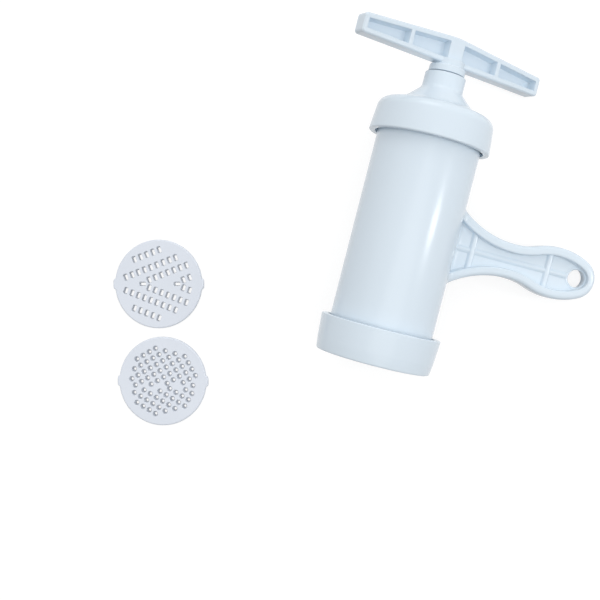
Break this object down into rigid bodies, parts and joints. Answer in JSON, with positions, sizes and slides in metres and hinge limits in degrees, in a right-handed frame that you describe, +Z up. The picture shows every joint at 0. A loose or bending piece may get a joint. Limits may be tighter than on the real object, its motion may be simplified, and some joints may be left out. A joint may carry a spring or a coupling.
{
  "type": "hand-cranked pasta extruder",
  "caption": "Screw press for pasta: a T-bar crank drives a plunger down a barrel with a side handle and pushes dough through a changeable die; spare dies lie beside it.",
  "frame": {"origin": "centre of the retaining ring's outer face, on the drive screw's axis", "axes": "+Y along the drive screw from the retaining ring to the crank; +Z up, with the press lying on a table on its two rims and the tip of its side handle; the side handle points to +X and droops to the table; the spare dies lie flat on the table on the -X side"},
  "size_m": [0.3316, 0.3101, 0.082],
  "materials": {
    "body_plastic": "glossy moulded white plastic with a cool tint",
    "die_plastic": "satin moulded white plastic",
    "screw_plastic": "glossy moulded white plastic",
    "fastener_steel": "plated steel"
  },
  "bodies": {
    "barrel": {"barrel": "body_plastic", "side_handle": "body_plastic"},
    "cap": {"top_cap": "body_plastic"},
    "plunger": {"plunger": "screw_plastic"},
    "crank": {"drive_screw": "screw_plastic", "crank_handle": "body_plastic", "plunger_screw": "fastener_steel"},
    "die_in_use": {"fitted_die": "die_plastic"},
    "ring": {"retaining_ring": "body_plastic"},
    "slotted_die": {"slotted_die": "die_plastic"},
    "round_hole_die": {"round_hole_die": "die_plastic"}
  },
  "joints": [
    {"name": "cap_lift", "type": "slide", "parent": "barrel", "child": "cap", "axis": [0, 1, 0], "range_m": [0, 0.175]},
    {"name": "plunger_travel", "type": "slide", "parent": "cap", "child": "plunger", "axis": [0, 1, 0], "range_m": [0, 0.14]},
    {"name": "crank_turn", "type": "hinge", "parent": "plunger", "child": "crank", "pos_m": [0, 0.2, 0], "axis": [0, 1, 0], "range_deg": [0, 5040]},
    {"name": "die_travel", "type": "slide", "parent": "barrel", "child": "die_in_use", "axis": [0, -1, 0], "range_m": [0, 0.03]},
    {"name": "ring_turn", "type": "hinge", "parent": "die_in_use", "child": "ring", "pos_m": [0, 0, 0], "axis": [0, -1, 0], "range_deg": [0, 1800]},
    {"name": "slotted_die_lift", "type": "slide", "parent": "barrel", "child": "slotted_die", "axis": [0, 0, 1], "range_m": [0, 0.06]},
    {"name": "round_hole_die_lift", "type": "slide", "parent": "barrel", "child": "round_hole_die", "axis": [0, 0, 1], "range_m": [0, 0.06]}
  ],
  "couplings": [
    {"joint": "plunger_travel", "follows": "crank_turn", "m_per_rad": 0.0015915},
    {"joint": "die_travel", "follows": "ring_turn", "m_per_rad": 0.00095493}
  ]
}
